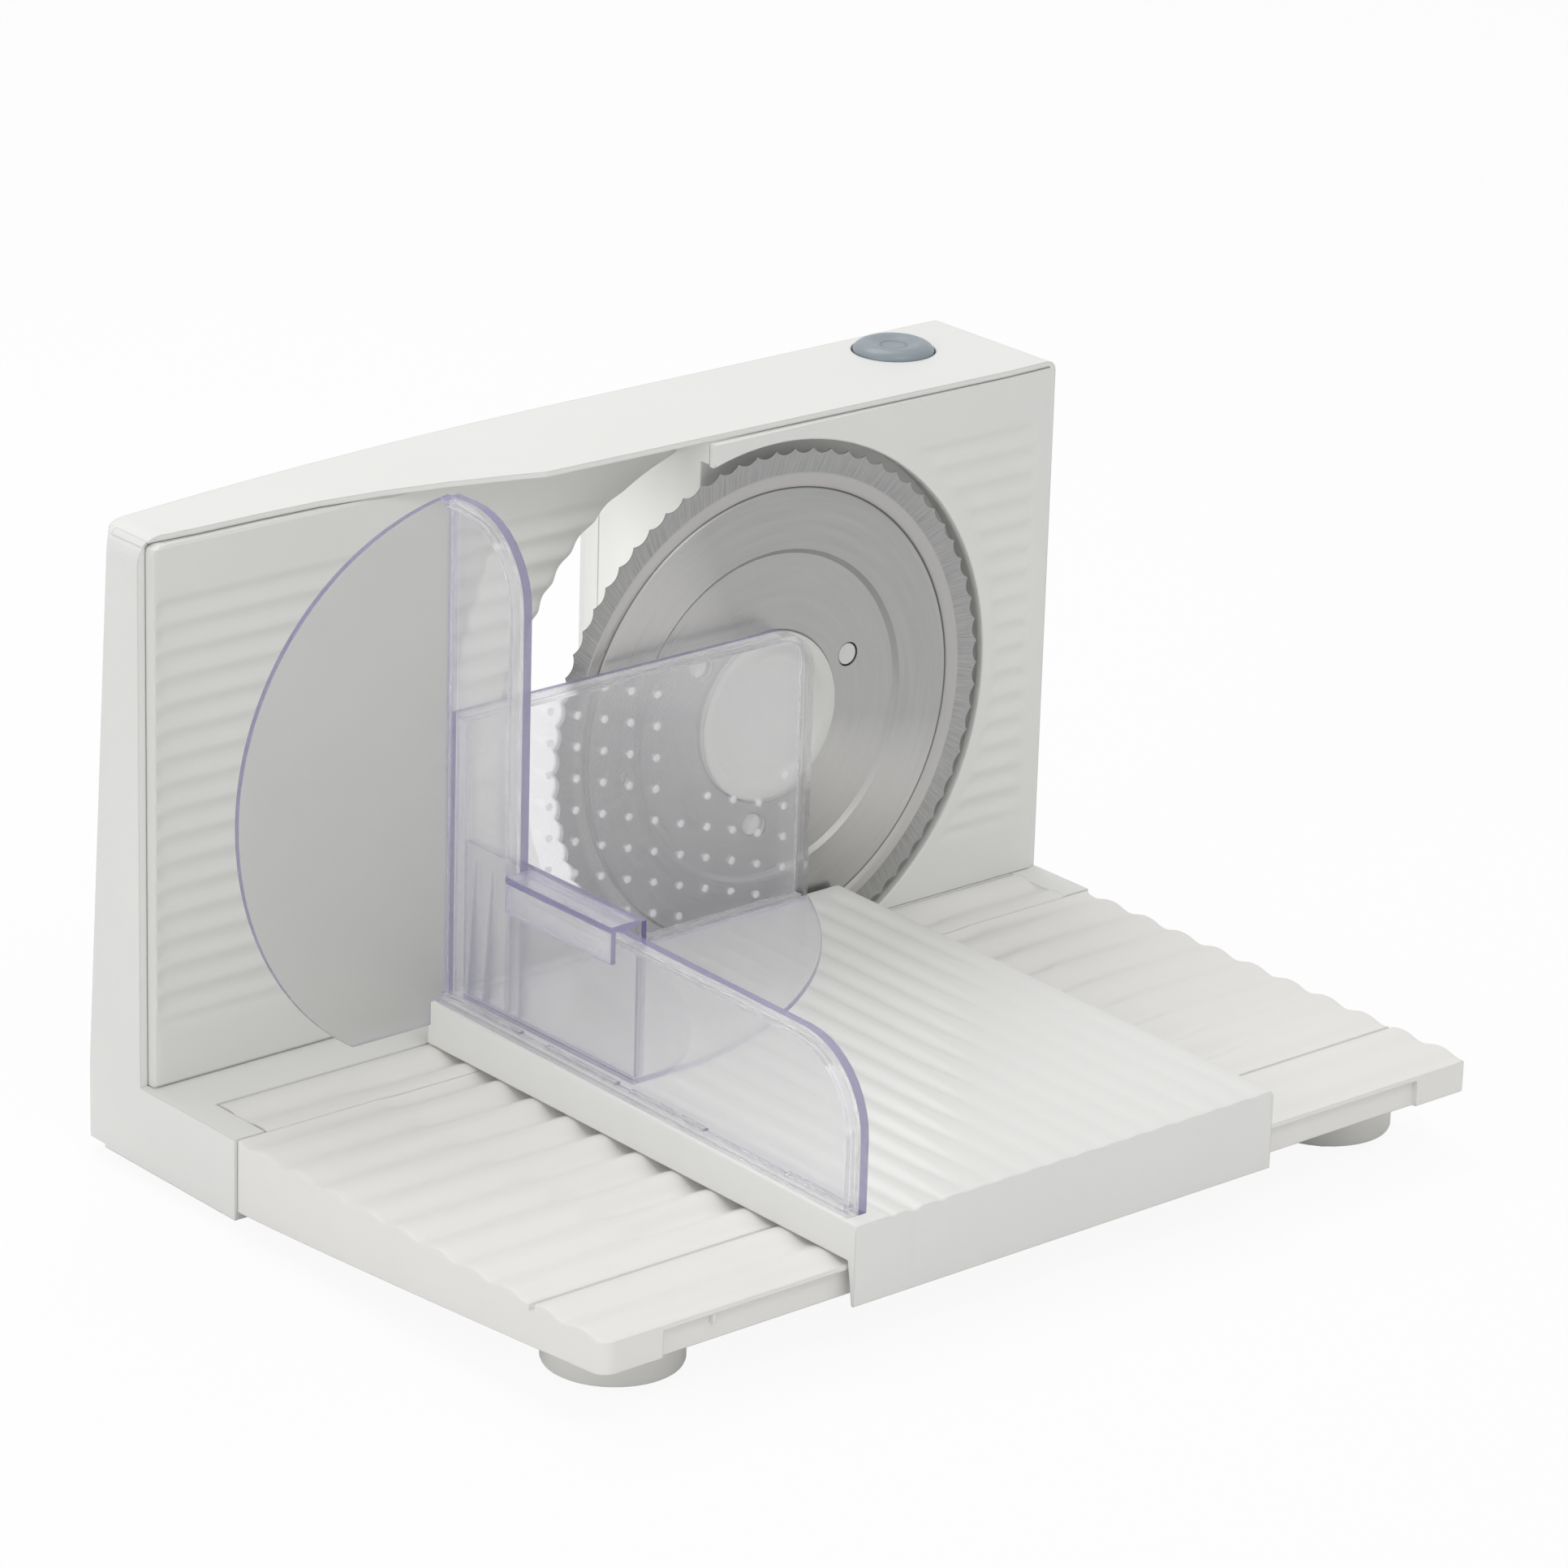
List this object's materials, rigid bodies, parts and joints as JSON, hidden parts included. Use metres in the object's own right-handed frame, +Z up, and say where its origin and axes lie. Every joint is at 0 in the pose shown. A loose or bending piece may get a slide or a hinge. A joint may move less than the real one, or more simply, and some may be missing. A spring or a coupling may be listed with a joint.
{
  "type": "food slicer",
  "caption": "Folding electric food slicer with a round toothed blade, a ribbed stop plate set by a knob, a sliding carriage with a clear guard, and a spiked food holder.",
  "frame": {"origin": "middle of the slicer's footprint, on the surface it stands on", "axes": "+Z up, +X to the right along the housing as the user faces it, +Y away from the user; the blade turns about Y"},
  "size_m": [0.333, 0.269, 0.2015],
  "materials": {
    "white_plastic": "fine satin moulded white plastic",
    "warm_white_plastic": "satin moulded warm white plastic",
    "clear_plastic": "clear plastic with a violet tint, lightly frosted faces and polished edges",
    "button_plastic": "semi-gloss blue-grey plastic",
    "blade_steel": "stainless steel brushed round the blade, ground edge band",
    "plain_steel": "turned or pressed steel, dull",
    "gear_nylon": "natural nylon",
    "bronze": "sintered bronze",
    "dark_plastic": "black moulded plastic",
    "rubber": "dark grey non-slip rubber"
  },
  "bodies": {
    "base": {"housing": "white_plastic", "front_plate": "white_plastic", "back_cover": "white_plastic", "inlet_gland": "dark_plastic", "base_cover": "white_plastic", "lower_guide_rod": "plain_steel", "upper_guide_rod": "plain_steel", "blade_axle": "plain_steel", "axle_bracket": "dark_plastic", "motor_can": "plain_steel", "motor_end_cap": "dark_plastic", "motor_cradle": "dark_plastic", "button_spring": "plain_steel", "switch": "dark_plastic", "platform": "warm_white_plastic", "left_hinge_pin": "plain_steel", "right_hinge_pin": "plain_steel", "left_platform_foot": "white_plastic", "right_platform_foot": "white_plastic", "left_foot_pad": "rubber", "right_foot_pad": "rubber", "left_front_rubber": "rubber", "left_back_rubber": "rubber", "right_front_rubber": "rubber", "right_back_rubber": "rubber"},
    "blade_drive": {"blade": "blade_steel", "hub_cap": "white_plastic", "blade_hub": "gear_nylon", "worm_wheel": "gear_nylon", "front_bush": "bronze", "rear_bush": "bronze"},
    "worm": {"motor_worm_shaft": "plain_steel"},
    "stop": {"stop_plate": "white_plastic"},
    "knob": {"thickness_knob": "white_plastic", "thickness_spindle": "plain_steel"},
    "button": {"push_button": "button_plastic"},
    "table": {"carriage": "warm_white_plastic", "guard": "clear_plastic"},
    "pusher": {"food_holder": "clear_plastic"}
  },
  "joints": [
    {"name": "blade_spin", "type": "hinge", "parent": "base", "child": "blade_drive", "pos_m": [0.0521, 0.06245, 0.105], "axis": [0, 1, 0], "continuous": true},
    {"name": "worm_spin", "type": "hinge", "parent": "base", "child": "worm", "pos_m": [0.0521, 0.09645, 0.081], "axis": [1, 0, 0], "continuous": true},
    {"name": "stop_slide", "type": "slide", "parent": "base", "child": "stop", "axis": [0, -1, 0], "range_m": [0, 0.0185]},
    {"name": "knob_turn", "type": "hinge", "parent": "base", "child": "knob", "pos_m": [-0.0979, 0.06245, 0.085], "axis": [0, 1, 0], "range_deg": [0, 300.1]},
    {"name": "button_press", "type": "slide", "parent": "base", "child": "button", "axis": [0, 0, -1], "range_m": [0, 0.003], "stiffness_N_per_m": 400, "springref_m": -0.0015, "deforming": ["button_spring"]},
    {"name": "carriage_slide", "type": "slide", "parent": "base", "child": "table", "axis": [1, 0, 0], "range_m": [-0.08, 0.08]},
    {"name": "holder_slide", "type": "slide", "parent": "table", "child": "pusher", "axis": [0, -1, 0], "range_m": [0, 0.07]}
  ],
  "couplings": [
    {"joint": "worm_spin", "follows": "blade_spin", "ratio": 36},
    {"joint": "knob_turn", "follows": "stop_slide", "rad_per_m": 283}
  ]
}
